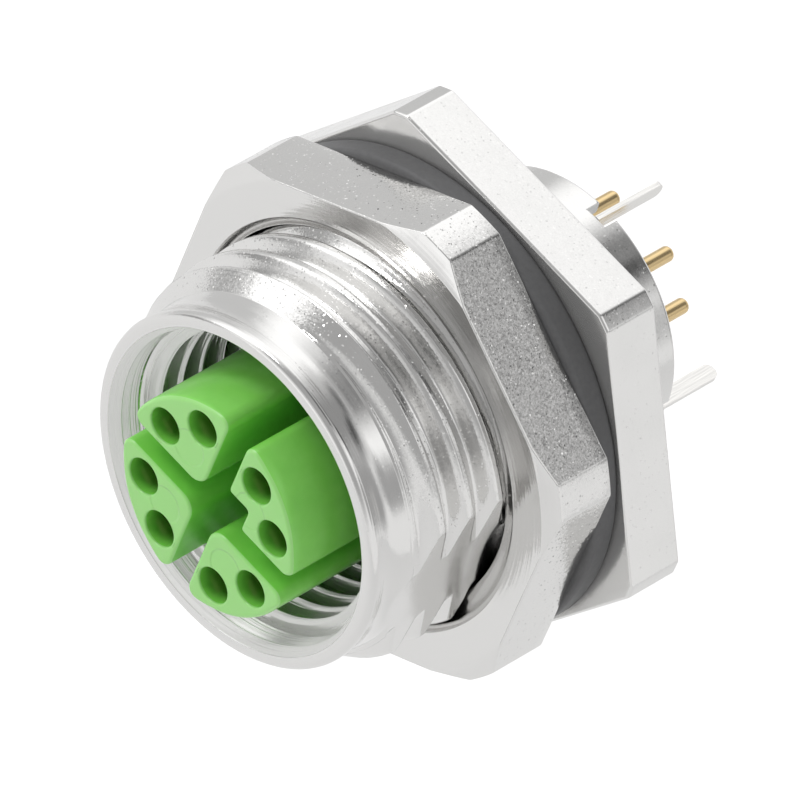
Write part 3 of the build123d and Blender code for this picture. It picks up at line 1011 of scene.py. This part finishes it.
def welded(points, quads):
    """The merged mesh without repeated corners in its faces: quads, and triangles at a pole."""
    places, quads = merged(points, quads)
    same = quads == np.roll(quads, -1, axis=1)
    whole = quads[~same.any(axis=1)]
    thin = quads[same.sum(axis=1) == 1]
    corner = np.argmax(thin == np.roll(thin, -1, axis=1), axis=1)
    order = (corner[:, None] + np.array([1, 2, 3])) % 4
    return places, whole.tolist() + np.take_along_axis(thin, order, axis=1).tolist()


def contact_piece(name):
    """A contact between the front and rear ends of its solid, round the solid's own axis. The square
    shank's radius is shank_half over the larger of |cos| and |sin| of the angle."""
    low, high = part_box(name)
    centre = np.array([(low.x + high.x) / 2, 0.0, (low.z + high.z) / 2])
    rod = section([
        (0.0, low.y + socket_depth, 0.0),
        (socket_radius, low.y + socket_depth, 0.0),
        (socket_radius, low.y, 0.06 * MM),
        (barrel_radius, low.y, 0.1 * MM),
        (barrel_radius, low.y + slit_depth, 0.0),
        (barrel_radius, shank_front_y, 0.0),
        (shank_half, shank_front_y, 0.0),
        (shank_half, shank_rear_y, 0.0),
        (tail_radius, shank_rear_y, 0.0),
        (tail_radius, high.y, tail_round),
        (0.0, high.y, 0.0),
    ], arc_steps=5)
    rod = refined(rod, 1.5 * MM, closed=False)
    slit_edges = [side + turn for side in (90, 270) for turn in (-slit_turn, slit_turn)]
    turns = np.radians(np.unique(np.concatenate([np.arange(0, 360, 10), slit_edges])))
    radius, station, angle = ring_rows(rod, turns)
    on_shank = np.isclose(radius, shank_half)
    on_shank &= (station > shank_front_y - hair) & (station < shank_rear_y + hair)
    larger = np.maximum(np.abs(np.cos(turns)), np.abs(np.sin(turns)))
    radius = np.where(on_shank, radius / larger, radius)
    in_slit = np.abs(np.sin(turns)) > np.cos(np.radians(slit_turn + 0.1))
    pulled = in_slit & (station < low.y + slit_depth) & (radius > socket_radius - hair)
    station = np.where(pulled, low.y + slit_depth, station)
    flat, quads = grid_quads(round_the_axis(radius, station, angle) + centre, closed=False)
    return mesh_object(name + "_turned", *welded(flat, quads), gold)


contact_names = [name for name in nodes if name.startswith("contact_") and name[-1].isdigit()]
contacts = {name: contact_piece(name) for name in contact_names}

# %% [markdown]
# ## Finishes on the solids that stay
# The rear insulator and the O-ring are hidden, and the shield shows only the tips of its tabs. Plain
# sheet and plain rings are right as solids, so these keep theirs and only get a finish.

# %% Dress the remaining solids
finishes = {"rear_insulator": green, "carrier_ring": rubber,
            "shield_plate_level": tinned, "shield_plate_upright": tinned}
for name, finish in finishes.items():
    nodes[name].data.materials.clear()
    nodes[name].data.materials.append(finish)
print("dressed", *finishes)

# %% [markdown]
# ## Onto the bodies
# The nut turns and the seal slides, so each piece rides the body of the solid that it stands for. It
# replaces that solid, which is hidden.

# %% Ride and replace
for piece, body, node, slot in ((nose, "connector", "housing", "nickel_shell"),
                                (thread, "connector", "housing", "nickel_shell"),
                                (flange, "connector", "housing", "nickel_shell"),
                                (nut, "nut", "panel_nut", "nickel_shell"),
                                (seal, "seal", "flange_seal", "seal_rubber"),
                                (lobes, "connector", "contact_carrier", "green_moulding"),
                                (insert_base, "connector", "contact_carrier", "green_moulding"),
                                *((piece, "connector", name, "gold_contact")
                                  for name, piece in contacts.items())):
    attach(piece, body)
    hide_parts(node)
